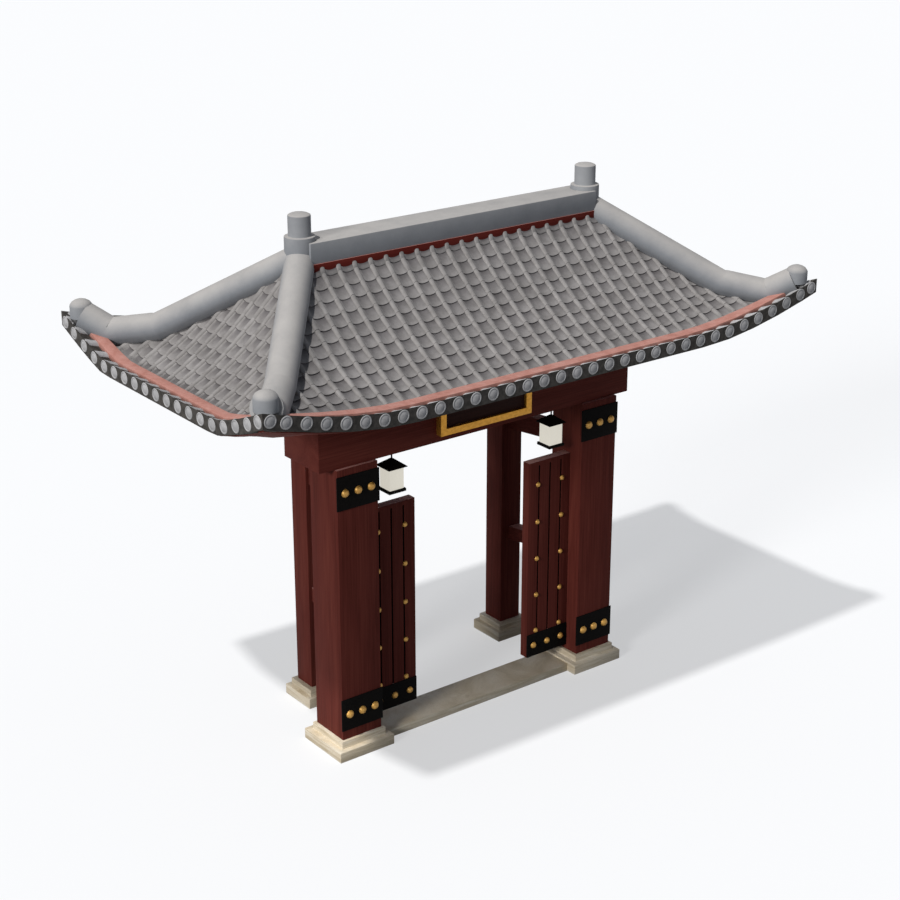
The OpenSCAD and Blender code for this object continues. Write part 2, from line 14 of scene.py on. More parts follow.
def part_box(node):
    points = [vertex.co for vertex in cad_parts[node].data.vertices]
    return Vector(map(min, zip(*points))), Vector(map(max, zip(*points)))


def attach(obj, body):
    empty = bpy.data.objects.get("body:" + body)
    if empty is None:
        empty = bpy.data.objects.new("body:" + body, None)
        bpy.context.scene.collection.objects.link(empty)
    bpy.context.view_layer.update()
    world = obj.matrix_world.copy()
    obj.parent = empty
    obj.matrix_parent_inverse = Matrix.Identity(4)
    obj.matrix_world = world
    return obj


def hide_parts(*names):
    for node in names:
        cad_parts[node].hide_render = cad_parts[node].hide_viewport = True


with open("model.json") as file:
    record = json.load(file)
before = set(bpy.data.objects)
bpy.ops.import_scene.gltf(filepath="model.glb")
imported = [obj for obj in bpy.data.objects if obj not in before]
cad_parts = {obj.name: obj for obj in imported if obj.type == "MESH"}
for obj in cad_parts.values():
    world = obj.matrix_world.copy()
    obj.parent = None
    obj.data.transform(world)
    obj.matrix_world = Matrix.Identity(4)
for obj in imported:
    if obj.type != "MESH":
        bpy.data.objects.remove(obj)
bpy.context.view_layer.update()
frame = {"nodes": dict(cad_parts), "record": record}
nodes = frame["nodes"]

# ---- Studio ---------------------------------------------------------------------------
# The gate stands outdoors in high sun from its left, with a bright low sky on the same side
# that reaches in under the eaves. The floor and sky are white to the eye, but throw little
# light back on the timber.

# Direction towards each light, its strength and its angular width in degrees
LIGHTS = {"high_sun": (Vector((-0.428, -0.094, 0.899)), 2.8, 2.5),
          "low_sky": (Vector((-0.90, -0.27, 0.34)), 1.6, 14)}
SKY_FILL = 0.28


def linear(hex_colour):
    """An sRGB hex value as a linear colour with alpha 1."""
    parts = [int(hex_colour[i:i + 2], 16) / 255 for i in (1, 3, 5)]
    return [p / 12.92 if p <= 0.04045 else ((p + 0.055) / 1.055) ** 2.4 for p in parts] + [1.0]


def plug(tree, node, sockets):
    """Sets a node's sockets, each from a value or by a link from another node's socket."""
    for name, value in sockets.items():
        if isinstance(value, bpy.types.NodeSocket):
            tree.links.new(value, node.inputs[name])
        else:
            node.inputs[name].default_value = value


def add(tree, kind, sockets=None, stops=None, **settings):
    """Adds a node with its settings, its values or links by socket, and a ramp's stops."""
    made = tree.nodes.new(kind)
    for name, value in settings.items():
        setattr(made, name, value)
    plug(tree, made, sockets or {})
    for i, (position, colour) in enumerate(stops or []):
        elements = made.color_ramp.elements
        element = elements[i] if i < 2 else elements.new(position)
        element.position = position
        element.color = linear(colour) if isinstance(colour, str) else [colour] * 3 + [1.0]
    return made


def seen_directly(tree):
    """1 for camera, glossy and transmitted rays, 0 for the light that falls on things."""
    path = add(tree, "ShaderNodeLightPath")
    seen = add(tree, "ShaderNodeMath", {0: path.outputs["Is Camera Ray"],
                                        1: path.outputs["Is Glossy Ray"]}, operation="MAXIMUM")
    any_seen = add(tree, "ShaderNodeMath", {0: seen.outputs[0],
                                            1: path.outputs["Is Transmission Ray"]},
                   operation="MAXIMUM")
    return any_seen.outputs[0]


scene = bpy.context.scene
scene.view_settings.view_transform = "Standard"
world = bpy.data.worlds.new("pale_sky")
scene.world = world
world.use_nodes = True
sky = world.node_tree
sky.nodes.clear()
fill = add(sky, "ShaderNodeBackground", {"Color": linear("#D2DFF4"), "Strength": SKY_FILL})
white = add(sky, "ShaderNodeBackground", {"Color": (1, 1, 1, 1), "Strength": 1.0})
both = add(sky, "ShaderNodeMixShader", {0: seen_directly(sky), 1: fill.outputs[0],
                                        2: white.outputs[0]})
add(sky, "ShaderNodeOutputWorld", {"Surface": both.outputs[0]})

for name, (towards, energy, width) in LIGHTS.items():
    lamp = bpy.data.objects.new(name, bpy.data.lights.new(name, "SUN"))
    lamp.data.energy = energy
    lamp.data.angle = math.radians(width)
    lamp.rotation_euler = towards.to_track_quat("Z", "Y").to_euler()
    scene.collection.objects.link(lamp)

FLOOR_REACH = 60
floor_mesh = bpy.data.meshes.new("floor")
floor_mesh.from_pydata([(x * FLOOR_REACH, y * FLOOR_REACH, 0)
                        for x, y in ((-1, -1), (1, -1), (1, 1), (-1, 1))], [], [(0, 1, 2, 3)])
floor = bpy.data.objects.new("floor", floor_mesh)
scene.collection.objects.link(floor)
paving = bpy.data.materials.new("pale_floor")
paving.use_nodes = True
tree = paving.node_tree
tree.nodes.clear()
lit = add(tree, "ShaderNodeBsdfDiffuse", {"Color": linear("#E8E8E8")})
plain_white = add(tree, "ShaderNodeEmission", {"Color": (1, 1, 1, 1), "Strength": 1.0})
pale = add(tree, "ShaderNodeMixShader", {0: 0.5, 1: lit.outputs[0], 2: plain_white.outputs[0]})
dull = add(tree, "ShaderNodeBsdfDiffuse", {"Color": linear("#6A6A6A")})
shown = add(tree, "ShaderNodeMixShader", {0: seen_directly(tree), 1: dull.outputs[0],
                                          2: pale.outputs[0]})
add(tree, "ShaderNodeOutputMaterial", {"Surface": shown.outputs[0]})
floor_mesh.materials.append(paving)

# The camera stands to the front left, above the eaves, and looks down at the gate.
LOOK_DOWN, LOOK_RIGHT = 0.3691, 0.6517
camera = bpy.data.objects.new("camera", bpy.data.cameras.new("camera"))
camera.location = (-10.475, -13.731, 9.328)
camera.rotation_euler = (math.pi / 2 - LOOK_DOWN, 0, -LOOK_RIGHT)
camera.data.lens = 73.94
camera.data.clip_end = 500
scene.collection.objects.link(camera)
scene.camera = camera

# ---- Plinths and sill -----------------------------------------------------------------
# Each post stands on a two-stepped block of cream banded limestone, and a low sill of the
# same stone joins the front pair. All are sawn, honed, and set dry on the paving.


def material(name):
    """A new material's tree, its shader and the place on the piece in metres."""
    made = bpy.data.materials.new(name)
    made.use_nodes = True
    tree = made.node_tree
    tree.nodes.clear()
    shader = add(tree, "ShaderNodeBsdfPrincipled")
    add(tree, "ShaderNodeOutputMaterial", {"Surface": shader.outputs["BSDF"]})
    place = add(tree, "ShaderNodeTexCoord").outputs["Object"]
    return made, tree, shader, place


# Points this near are one, faces within this many degrees are one flat, and arrises sharper
# than this many degrees are eased.
MERGE_WITHIN, FLAT_WITHIN, CRISP_OVER = 2e-5, 0.5, 40


def dress(node, finish, ease=0.004, smooth_angle=35):
    """A CAD node's shape with its arrises eased, its curves smooth, and a finish on it."""
    shape = bmesh.new()
    shape.from_mesh(nodes[node].data)
    bmesh.ops.remove_doubles(shape, verts=shape.verts, dist=MERGE_WITHIN)
    bmesh.ops.dissolve_limit(shape, angle_limit=math.radians(FLAT_WITHIN), verts=shape.verts,
                             edges=shape.edges)
    if ease:
        crisp = [e for e in shape.edges if len(e.link_faces) == 2
                 and e.calc_face_angle(0) > math.radians(CRISP_OVER)]
        bmesh.ops.bevel(shape, geom=crisp, offset=ease, segments=2, profile=0.6,
                        affect="EDGES", clamp_overlap=True)
    return put(node + "_finished", shape, finish, node_body[node], smooth_angle, node)


def put(name, shape, finish, body, smooth_angle=35, *stands_for):
    """Makes the bmesh into a piece that rides on a body, and may stand for CAD nodes."""
    for face in shape.faces:
        face.smooth = True
    for edge in shape.edges:
        edge.smooth = len(edge.link_faces) == 2 and \
            edge.calc_face_angle(0) < math.radians(smooth_angle)
    mesh = bpy.data.meshes.new(name)
    shape.to_mesh(mesh)
    shape.free()
    mesh.materials.append(finish)
    piece = bpy.data.objects.new(name, mesh)
    scene.collection.objects.link(piece)
    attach(piece, body)
    for node in stands_for:
        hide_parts(node)
    return piece


node_body = {n: b for b, names in frame["record"]["behaviour"]["bodies"].items() for n in names}

# Banded limestone, honed: soft layers 15-40 mm thick with small open pits and warm veins
stone, tree, shader, place = material("honed_banded_limestone")
bands = add(tree, "ShaderNodeMapping", {"Vector": place, "Scale": (2.2, 2.2, 34)})
layers = add(tree, "ShaderNodeTexNoise", {"Vector": bands.outputs[0], "Scale": 1.0, "Detail": 7.0,
                                          "Roughness": 0.62, "Distortion": 0.7})
colour = add(tree, "ShaderNodeValToRGB", {"Fac": layers.outputs["Fac"]},
             [(0.30, "#B5A486"), (0.47, "#CCBDA3"), (0.56, "#D6C9B2"), (0.72, "#E3DAC8")])
pit_noise = add(tree, "ShaderNodeTexNoise", {"Vector": place, "Scale": 95.0, "Detail": 3.0})
pits = add(tree, "ShaderNodeValToRGB", {"Fac": pit_noise.outputs["Fac"]},
           [(0.30, 0.0), (0.42, 1.0)])
pitted = add(tree, "ShaderNodeMix", {0: 0.22, 6: colour.outputs[0], 7: pits.outputs[0]},
             data_type="RGBA", blend_type="MULTIPLY")
rough = add(tree, "ShaderNodeMapRange", {"Value": layers.outputs["Fac"], "To Min": 0.72,
                                         "To Max": 0.58})
bump = add(tree, "ShaderNodeBump", {"Height": pits.outputs[0], "Strength": 0.35,
                                    "Distance": 0.002})
plug(tree, shader, {"Base Color": pitted.outputs[2], "Roughness": rough.outputs[0],
                    "Normal": bump.outputs[0], "Specular IOR Level": 0.3})
for name in ("front_left_plinth", "front_right_plinth", "rear_left_plinth",
             "rear_right_plinth", "sill"):
    dress(name, stone, ease=0.007)

# ---- Posts, beams, ties and ceiling ----------------------------------------------------
# Squared softwood balks under a dark iron-red stain that has gone dull outdoors. Posts are
# pegged into the beams; the ties run back from each front post to the slimmer rear one.


def stained_timber(name, along, deep="#4E221B", middle="#622D26", pale="#70382E",
                   painted_top_light="#B07E76"):
    """Red-stained timber, sawn and planed, with its grain along an axis: 0 X, 1 Y, 2 Z.
    Growth rings 8 to 12 mm apart show as faint darker streaks under the stain, and faces that
    look straight up are painted paler, as painted light on the tops."""
    made, tree, shader, place = material(name)
    # Scales in 1/m: fine streaks about 12 mm wide and 0.6 m long, over a broad figure
    # about 200 mm wide and 2 m long
    across, run = 85.0, 1.6
    broad_across, broad_run = 5.0, 0.5
    fine = add(tree, "ShaderNodeMapping",
               {"Vector": place, "Scale": [run if i == along else across for i in range(3)]})
    grain = add(tree, "ShaderNodeTexNoise", {"Vector": fine.outputs[0], "Scale": 1.0,
                                             "Detail": 5.0, "Roughness": 0.6, "Distortion": 0.3})
    broad = add(tree, "ShaderNodeMapping",
                {"Vector": place,
                 "Scale": [broad_run if i == along else broad_across for i in range(3)]})
    figure = add(tree, "ShaderNodeTexNoise", {"Vector": broad.outputs[0], "Scale": 1.0,
                                              "Detail": 2.0, "Distortion": 1.2})
    streaks = add(tree, "ShaderNodeMath", {0: grain.outputs["Fac"], 1: 0.62},
                  operation="MULTIPLY")
    tone = add(tree, "ShaderNodeMath", {0: figure.outputs["Fac"], 1: 0.38,
                                        2: streaks.outputs[0]}, operation="MULTIPLY_ADD")
    colour = add(tree, "ShaderNodeValToRGB", {"Fac": tone.outputs[0]},
                 [(0.34, deep), (0.50, middle), (0.66, pale)])
    facing = add(tree, "ShaderNodeSeparateXYZ",
                 {0: add(tree, "ShaderNodeNewGeometry").outputs["Normal"]})
    upward = add(tree, "ShaderNodeMapRange", {"Value": facing.outputs["Z"], "From Min": 0.7,
                                              "From Max": 0.8})
    # Faces that look up are mixed towards a paler colour: painted light on the tops.
    facing_painted_light = add(tree, "ShaderNodeMix", {0: upward.outputs[0], 6: colour.outputs[0],
                                            7: linear(painted_top_light)}, data_type="RGBA")
    rough = add(tree, "ShaderNodeMapRange", {"Value": grain.outputs["Fac"], "To Min": 0.52,
                                             "To Max": 0.72})
    bump = add(tree, "ShaderNodeBump", {"Height": grain.outputs["Fac"], "Strength": 0.30,
                                        "Distance": 0.0015})
    plug(tree, shader, {"Base Color": facing_painted_light.outputs[2], "Roughness": rough.outputs[0],
                        "Normal": bump.outputs[0], "Specular IOR Level": 0.04})
    return made


upright_timber = stained_timber("iron_red_timber_upright", 2)
long_timber = stained_timber("iron_red_timber_along_x", 0)
deep_timber = stained_timber("iron_red_timber_along_y", 1)
for name in ("front_left_post", "front_right_post", "rear_left_post", "rear_right_post"):
    dress(name, upright_timber, ease=0.006)
for name in ("main_beam", "rear_beam", "ridge_beam", "ceiling"):
    dress(name, long_timber, ease=0.006)
for name in ("left_ties", "right_ties"):
    dress(name, deep_timber, ease=0.004)
dress("soffit", long_timber, ease=0)

# ---- Iron straps and brass studs --------------------------------------------------------
# Each front post carries a flat iron strap near its foot and its head, blackened with oil
# and nailed on with three domed brass studs.

# Forged iron, blackened: almost black, dull, with faint hammer hollows 25 mm across
iron, tree, shader, place = material("blackened_forged_iron")
hammer = add(tree, "ShaderNodeTexVoronoi", {"Vector": place, "Scale": 38.0},
             feature="SMOOTH_F1")
soot = add(tree, "ShaderNodeTexNoise", {"Vector": place, "Scale": 60.0, "Detail": 6.0})
colour = add(tree, "ShaderNodeValToRGB", {"Fac": soot.outputs["Fac"]},
             [(0.35, "#0A0909"), (0.7, "#171513")])
rough = add(tree, "ShaderNodeMapRange", {"Value": soot.outputs["Fac"], "To Min": 0.55,
                                         "To Max": 0.8})
bump = add(tree, "ShaderNodeBump", {"Height": hammer.outputs["Distance"], "Strength": 0.25,
                                    "Distance": 0.002})
plug(tree, shader, {"Base Color": colour.outputs[0], "Roughness": rough.outputs[0],
                    "Normal": bump.outputs[0], "Specular IOR Level": 0.03})
dress("post_straps", iron, ease=0.002)

# Cast brass, dulled: warm yellow metal with browned hollows and a soft broad highlight
brass, tree, shader, place = material("dulled_cast_brass")
tarnish = add(tree, "ShaderNodeTexNoise", {"Vector": place, "Scale": 45.0, "Detail": 5.0})
colour = add(tree, "ShaderNodeValToRGB", {"Fac": tarnish.outputs["Fac"]},
             [(0.3, "#A87A34"), (0.6, "#C89A4C")])
rough = add(tree, "ShaderNodeMapRange", {"Value": tarnish.outputs["Fac"], "To Min": 0.5,
                                         "To Max": 0.42})
plug(tree, shader, {"Base Color": colour.outputs[0], "Roughness": rough.outputs[0],
                    "Metallic": 0.4})


def keep(node, finish):
    """A CAD node that shows as it is, with a finish on it."""
    nodes[node].data.materials.clear()
    nodes[node].data.materials.append(finish)


keep("post_strap_studs", brass)

# ---- Leaves -----------------------------------------------------------------------------
# Each leaf is four planks of the same red timber, joined edge to edge with open joints at
# the front. An iron band crosses its foot and brass studs run up the outer planks.

# The last colour, #C89890, is painted light on the planks' tops.
leaf_timber = stained_timber("iron_red_leaf_planks", 2, "#4B2019", "#5E2B24", "#6B352C",
                             "#C89890")
LEAF_EASE = 0.003
GROOVE_DEPTH, GROOVE_CLEAR = 0.014, 0.002
# The bottoms and sides of the open joints, unpainted, coloured near black as painted shade
joint_shade, tree, shader, place = material("open_joint_painted_shade")
joint_shade_mottle = add(tree, "ShaderNodeTexNoise", {"Vector": place, "Scale": 50.0, "Detail": 4.0})
colour = add(tree, "ShaderNodeValToRGB", {"Fac": joint_shade_mottle.outputs["Fac"]},
             [(0.3, "#070404"), (0.7, "#140A08")])
plug(tree, shader, {"Base Color": colour.outputs[0], "Roughness": 0.9,
                    "Specular IOR Level": 0.02})
for side in ("left", "right"):
    leaf = dress(side + "_leaf", leaf_timber, ease=LEAF_EASE)
    leaf.data.materials.append(joint_shade)
    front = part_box(side + "_leaf")[0].y
    # Faces inside the open joints take the near-black painted-shade material.
    for face in leaf.data.polygons:
        if front + LEAF_EASE < face.center.y < front + GROOVE_DEPTH + GROOVE_CLEAR:
            face.material_index = 1
    dress(side + "_leaf_band", iron, ease=0.002)
    keep(side + "_leaf_studs", brass)
    # Each leaf swings on two forged eyes over pintles spiked into the post.
    dress(side + "_hinge_eyes", iron, ease=0)
    dress(side + "_pintles", iron, ease=0)

# ---- Lanterns ---------------------------------------------------------------------------
# A square paper lantern hangs beside each post on a short iron rod, under a folded iron cap
# and over a flat iron base.

dress("lantern_frames", iron, ease=0.003)
# Paper over a thin frame: matt off-white with long fibres, given a painted glow by emission
# though no lamp is inside
paper, tree, shader, place = material("lantern_paper_painted_glow")
fibres = add(tree, "ShaderNodeTexNoise", {"Vector": place, "Scale": 130.0, "Detail": 6.0,
                                          "Distortion": 1.5})
colour = add(tree, "ShaderNodeValToRGB", {"Fac": fibres.outputs["Fac"]},
             [(0.3, "#D4CFC2"), (0.65, "#DEDACE")])
bump = add(tree, "ShaderNodeBump", {"Height": fibres.outputs["Fac"], "Strength": 0.2,
                                    "Distance": 0.0008})
plug(tree, shader, {"Emission Color": colour.outputs[0], "Normal": bump.outputs[0],
                    "Base Color": linear("#8E8A80"), "Roughness": 0.85,
                    "Emission Strength": 0.85})
dress("lantern_bodies", paper, ease=0.003)

# ---- Plaque -----------------------------------------------------------------------------
# A blank board of dark lacquered wood in a frame of gilt bars, fixed to the beam's face.

gilt, tree, shader, place = material("gilt_moulding")
leafing = add(tree, "ShaderNodeTexNoise", {"Vector": place, "Scale": 30.0, "Detail": 5.0})
colour = add(tree, "ShaderNodeValToRGB", {"Fac": leafing.outputs["Fac"]},
             [(0.3, "#A87829"), (0.6, "#BE8A35")])
rough = add(tree, "ShaderNodeMapRange", {"Value": leafing.outputs["Fac"], "To Min": 0.55,
                                         "To Max": 0.42})
plug(tree, shader, {"Base Color": colour.outputs[0], "Roughness": rough.outputs[0],
                    "Metallic": 0.8})
dress("plaque_frame", gilt, ease=0.005)
lacquer = stained_timber("dark_lacquered_board", 0, "#2C1C1A", "#38241F", "#402A26")
dress("plaque_panel", lacquer, ease=0.002)

# ---- Roof tiles -------------------------------------------------------------------------
# Grey clay tiles, each a shallow pan with a round rib along one edge. They lie on the roof
# bed in courses 138 mm apart, and each nose laps the next course down. The heads of the top
# course are raised on mortar against the ridge.

RIB_PITCH = {"front": 0.1766, "rear": 0.1766, "left": 0.1725, "right": 0.1725}
COURSE_PITCH = 0.1376
TILE_T = 0.009
# How far a pan's head and nose lie over the bed; a rib's head stands higher, so that a rib
# steps much less than its pan from one course to the next.
HEAD_UP, NOSE_UP, RIB_HEAD_UP = 0.002, 0.016, 0.011
# A rib's half width and height, and the sag of the pan between two ribs
RIB_HALF, RIB_H, PAN_SAG = 0.0260, 0.019, 0.013
# Height of the mortar under the heads of the top course
HEAD_RAISED = 0.030
# A pan's far edge goes this far under the next rib and this far down, and a course goes this
# far under the one above.
TUCK, TUCK_DOWN, LAP = 0.012, 0.003, 0.016
# Unevenness of the laying: a nose's height and its place down the slope
LIFT, SLIP = 0.0012, 0.002
# The first nose stands this far from the ridge strip or the drum, and the last course ends
# this far from the strip's outer edge.
FIRST_NOSE = {"front": 0.026, "rear": 0.026, "left": 0.087, "right": 0.087}
LAST_NOSE = {"front": 0.106, "rear": 0.106, "left": 0.090, "right": 0.090}
HEAD_CLEAR = 0.002
# A last course shorter than this is left out, and the one above is made longer.
FOOT_REST = 0.006
SLOPE_STEP = 0.02
# A tile is lofted through its head, its middle and its nose, with points on its rib this
# many degrees apart and this many on its pan.
ALONG = (0, 0.5, 1)
RIB_TURN, PAN_POINTS = 30, 5
# Heights over the roof and near its middle, to look for the bed from
OVER_ROOF, MID_ROOF = 9, 4.2
random.seed(7)

eave_x, eave_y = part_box("eave_tiles")[1].xy
strip_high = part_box("eave_strip")[1]
ridge_low, ridge_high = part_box("ridge_strip")
ridge_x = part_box("ridge")[1].x


def surface(node):
    """A CAD node's faces, ready for rays to be cast on them."""
    return BVHTree.FromPolygons([v.co.copy() for v in nodes[node].data.vertices],
                                [p.vertices[:] for p in nodes[node].data.polygons])


def height(tree, x, y):
    """Height of the top of a CAD node over a place in plan, or of its nearest edge."""
    for nudge in (0, 1e-4, -1e-4):
        hit = tree.ray_cast(Vector((x + nudge, y + nudge, OVER_ROOF)), Vector((0, 0, -1)))[0]
        if hit:
            return hit.z
    return tree.find_nearest(Vector((x, y, MID_ROOF)))[0].z


def plan(side, across, down):
    """A place in plan: across a side's slope from its middle, and down from the centre."""
    return {"front": (across, -down), "rear": (-across, down),
            "left": (-down, -across), "right": (down, across)}[side]


def relief(u, pitch):
    """Height of a tile's face over its pan, at a distance from its rib's centre line."""
    if abs(u) <= RIB_HALF:
        return PAN_SAG + RIB_H * math.sqrt(max(0, 1 - (u / RIB_HALF) ** 2))
    middle = pitch / 2
    share = min(1, abs(u - middle) / (middle - RIB_HALF))
    return PAN_SAG * share ** 2


def loft(shape, rows, closed_ring=False, caps=False):
    """Faces between rows of points; a closed ring joins each row's last point to its first."""
    grid = [[shape.verts.new(p) for p in row] for row in rows]
    n = len(grid[0])
    for a, b in zip(grid, grid[1:]):
        for i in range(n if closed_ring else n - 1):
            j = (i + 1) % n
            shape.faces.new((a[i], a[j], b[j], b[i]))
    if caps:
        shape.faces.new(grid[0][::-1])
        shape.faces.new(grid[-1])
    return grid


def lay_tiles(side, first_nose, head, foot, run):
    """All the tiles of one slope, cut to the hip lines. The noses, the first head and the
    foot are distances in plan from the middle of the roof; run gives half the width there."""
    node = side + "_tile_bed"
    bed = surface(node)
    pitch = RIB_PITCH[side]
    noses = [first_nose]
    while noses[-1] < foot - FOOT_REST:
        x, y = plan(side, 0, noses[-1])
        x2, y2 = plan(side, 0, noses[-1] + SLOPE_STEP)
        slope = (height(bed, x, y) - height(bed, x2, y2)) / SLOPE_STEP
        noses.append(noses[-1] + COURSE_PITCH / math.sqrt(1 + slope ** 2))
    noses[-1] = foot
    us = [RIB_HALF * math.sin(math.radians(a)) for a in range(-90, 91, RIB_TURN)]
    pan = pitch - 2 * RIB_HALF
    us += [RIB_HALF + pan * (i + 1) / PAN_POINTS for i in range(PAN_POINTS)]
    us.append(pitch - RIB_HALF + TUCK)
    shape = bmesh.new()
    tone = shape.verts.layers.float.new("tile_tone")
    # Each point's share of painted light: 1 on the ribs and at the noses, down to 0 at the pans'
    # heads and on the undersides, where the clay is painted in shade.
    painted_light_share = shape.verts.layers.float.new("tile_painted_light")
    with_painted_light = [1.0 if u <= RIB_HALF else 0.0 for u in us]
    for k, nose in enumerate(noses):
        top = noses[k - 1] - LAP if k else head
        count = int((run(nose) + pitch) / pitch) + 1
        for j in range(-count, count):
            centre = j * pitch
            if abs(centre + pitch / 2) - pitch > run(nose):
                continue
            shade, lift = random.random(), random.uniform(-LIFT, LIFT)
            slip = random.uniform(-SLIP, SLIP) if k < len(noses) - 1 else 0
            rows = []
            for part in ALONG:
                down = top + (nose + slip - top) * part
                raised = lift * part + (HEAD_RAISED * (1 - part) if k == 0 else 0)
                face = []
                for u in us:
                    x, y = plan(side, centre + u, down)
                    start = RIB_HEAD_UP if abs(u) < RIB_HALF else HEAD_UP
                    up = start + (NOSE_UP - start) * part + raised
                    tucked = -TUCK_DOWN if u > pitch - RIB_HALF else 0
                    face.append(Vector((x, y, height(bed, x, y) + up + tucked
                                        + relief(u, pitch))))
                rows.append(face)
            ring = [face + [p - Vector((0, 0, TILE_T)) for p in reversed(face)]
                    for face in rows]
            for part, row in zip(ALONG, loft(shape, ring, closed_ring=True, caps=True)):
                for i, vert in enumerate(row):
                    vert[tone] = shade
                    vert[painted_light_share] = max(part, with_painted_light[i]) if i < len(us) else 0.0
    # The cuts follow the hip lines in plan, under the rolls that cover the hips.
    at_end = side in ("left", "right")
    out = Vector((eave_y, ridge_x - eave_x, 0)).normalized()
    for sign in (-1, 1):
        mirror_x = (1 if side == "right" else -1) if at_end else sign
        mirror_y = sign if at_end else (-1 if side == "front" else 1)
        normal = Vector((out.x * mirror_x, out.y * mirror_y, 0)) * (-1 if at_end else 1)
        everything = shape.verts[:] + shape.edges[:] + shape.faces[:]
        cut = bmesh.ops.bisect_plane(shape, geom=everything, plane_no=normal, clear_outer=True,
                                     plane_co=Vector((ridge_x * mirror_x, 0, 0)))
        edges = [e for e in cut["geom_cut"] if isinstance(e, bmesh.types.BMEdge)]
        bmesh.ops.holes_fill(shape, edges=edges)
    bmesh.ops.recalc_face_normals(shape, faces=shape.faces)
    tiles = put(side + "_roof_tiles", shape, clay, node_body[node], 50)


# Fired grey clay, weathered: matt, each tile its own tone, with painted shade that darkens each
# pan towards its head under the nose above and on the undersides, leaving ribs and noses at full
# tone
clay, tree, shader, place = material("weathered_grey_clay_tile")
tone = add(tree, "ShaderNodeAttribute", attribute_name="tile_tone")
firing = add(tree, "ShaderNodeTexNoise", {"Vector": place, "Scale": 14.0, "Detail": 6.0,
                                          "Roughness": 0.65})
mixed = add(tree, "ShaderNodeMath", {0: tone.outputs["Fac"], 1: 0.2, 2: firing.outputs["Fac"]},
            operation="MULTIPLY_ADD")
colour = add(tree, "ShaderNodeValToRGB", {"Fac": mixed.outputs[0]},
             [(0.40, "#7A7673"), (0.6, "#85817E"), (0.8, "#8F8B88")])
painted_light_share = add(tree, "ShaderNodeAttribute", attribute_name="tile_painted_light")
painted_shade_ramp = add(tree, "ShaderNodeValToRGB", {"Fac": painted_light_share.outputs["Fac"]},
              [(0.0, "#A09EA2"), (0.45, "#DAD9DB"), (1.0, "#FFFFFF")])
with_painted_light = add(tree, "ShaderNodeMix", {0: 1.0, 6: colour.outputs[0], 7: painted_shade_ramp.outputs[0]},
             data_type="RGBA", blend_type="MULTIPLY")
grit = add(tree, "ShaderNodeTexNoise", {"Vector": place, "Scale": 240.0, "Detail": 3.0})
bump = add(tree, "ShaderNodeBump", {"Height": grit.outputs["Fac"], "Strength": 0.25,
                                    "Distance": 0.001})
plug(tree, shader, {"Base Color": with_painted_light.outputs[2], "Normal": bump.outputs[0],
                    "Roughness": 0.8, "Specular IOR Level": 0.1})

slope_share = (eave_x - ridge_x) / eave_y
drum_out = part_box("ridge_finials")[1].x
for side in ("front", "rear"):
    lay_tiles(side, ridge_high.y + FIRST_NOSE[side],
              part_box("rear_tile_bed")[0].y + HEAD_CLEAR, strip_high.y - LAST_NOSE[side],
              lambda down: ridge_x + down * slope_share)
    keep(side + "_tile_bed", clay)
for side in ("left", "right"):
    lay_tiles(side, drum_out + FIRST_NOSE[side],
              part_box("right_tile_bed")[0].x + HEAD_CLEAR, strip_high.x - LAST_NOSE[side],
              lambda down: (down - ridge_x) / slope_share)
    keep(side + "_tile_bed", clay)

# ---- Eaves ------------------------------------------------------------------------------
# Round cover tiles end the slope in a row of discs with a raised rim, over dark scooped pan
# tiles. A capping strip of mortar, painted salmon red, holds their upper ends.

EAVE_DOWN = {"front": eave_y, "rear": eave_y, "left": eave_x, "right": eave_x}
STRIP_DOWN = {"front": strip_high.y, "rear": strip_high.y,
              "left": strip_high.x, "right": strip_high.x}
# Where the middles of the cover tiles lie along a side, by number and pitch
COVERS = {"front": (34, 0.195), "rear": (34, 0.195), "left": (19, 0.193), "right": (19, 0.193)}
COVER_R, DISC_R = 0.062, 0.060
DISC_DROP, PAN_DROP = 0.012, 0.020
CORNER_CLEAR = 0.085
# The pans' faces stand this far inside the band's, and their upper ends go this far under
# the strip.
FACE_BACK, STRIP_TUCK = 0.010, 0.006
# A pan lies this far under the band's top and dips this much more between two covers, from
# the foot of its lip inwards. The lip's top and foot are measured from the face.
PAN_UNDER, SCOOP = 0.004, 0.030
LIP_TOP, LIP_FOOT = 0.014, 0.026
# A cover ends this far behind the pans' faces, inside its disc.
COVER_SHORT = 0.013
# The band's top is looked for this far inside its outer edge, and outside the strip's.
EDGE_CLEAR, STRIP_CLEAR = 0.002, 0.003
# Heights under the eaves and near them, to look for the band's underside from
UNDER_EAVES, NEAR_EAVES = 2, 3.7
STEPS_PER_COVER, COVER_SIDES, DISC_SIDES = 8, 16, 32
# A disc's face from its middle out: distance from the centre and height over the plane
DISC_FACE = [(0.001, 0.0075), (0.015, 0.0070), (0.030, 0.0050), (0.043, 0.0015),
             (0.046, 0.0005), (0.048, 0.0035), (0.056, 0.0035), (0.060, 0.0), (0.060, -0.014)]
eave_body = node_body["eave_tiles"]
edge = surface("eave_tiles")


def underside(tree, x, y):
    """Height of the underside of a CAD node over a place in plan."""
    hit = tree.ray_cast(Vector((x, y, UNDER_EAVES)), Vector((0, 0, 1)))[0]
    return hit.z if hit else tree.find_nearest(Vector((x, y, NEAR_EAVES)))[0].z


def band_top(side, across, down):
    """Height of the top of the eave band, sampled a little clear of the strip."""
    return height(edge, *plan(side, across, max(down, STRIP_DOWN[side] + STRIP_CLEAR)))


def middles(side):
    """The middles of a side's cover tiles; the last ones stand just inside the corner."""
    count, pitch = COVERS[side]
    limit = (eave_x if side in ("front", "rear") else eave_y) - CORNER_CLEAR
    return [max(-limit, min(limit, (i - (count - 1) / 2) * pitch)) for i in range(count)]


